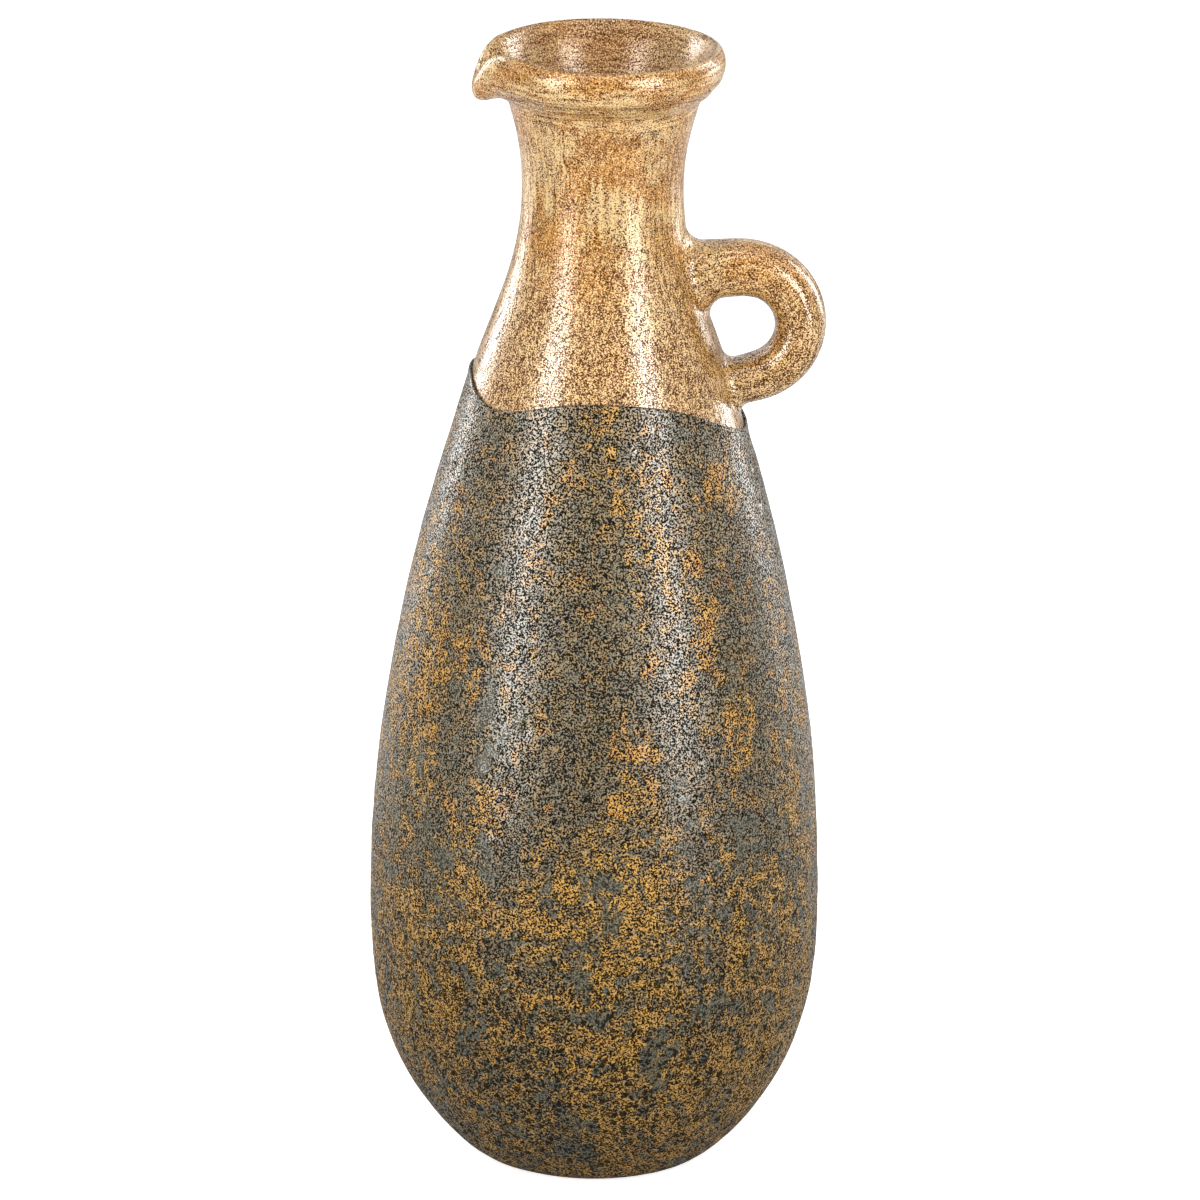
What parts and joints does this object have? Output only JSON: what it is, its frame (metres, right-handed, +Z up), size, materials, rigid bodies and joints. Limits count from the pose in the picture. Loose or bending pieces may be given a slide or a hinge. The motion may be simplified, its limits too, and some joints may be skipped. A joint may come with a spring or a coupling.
{
  "type": "lekythos",
  "caption": "Tall egg-shaped pouring jug with a waisted neck, a rolled rim pulled into a beak, a finger loop on the neck and a rough mineral coat ending in a wavy edge.",
  "frame": {"origin": "centre of the foot on the ground", "axes": "+Z up the axis of the vessel, +X towards the loop handle, the beak points to -X"},
  "size_m": [0.1984, 0.1984, 0.5013],
  "materials": {
    "fired_clay": "bare fired clay, matt, seen only inside and under the foot",
    "gold_paint": "clay rubbed with metallic bronze-gold paint, satin, finely grained and brushed",
    "mineral_coat": "gritty dark green-grey coat rubbed with ochre gold, semi-matt, pitted"
  },
  "bodies": {
    "root": {"vessel_body": "fired_clay", "neck": "gold_paint", "rolled_rim": "gold_paint", "loop_handle": "gold_paint", "upper_root_wad": "gold_paint", "lower_root_wad": "gold_paint", "textured_coat": "mineral_coat"}
  },
  "joints": []
}
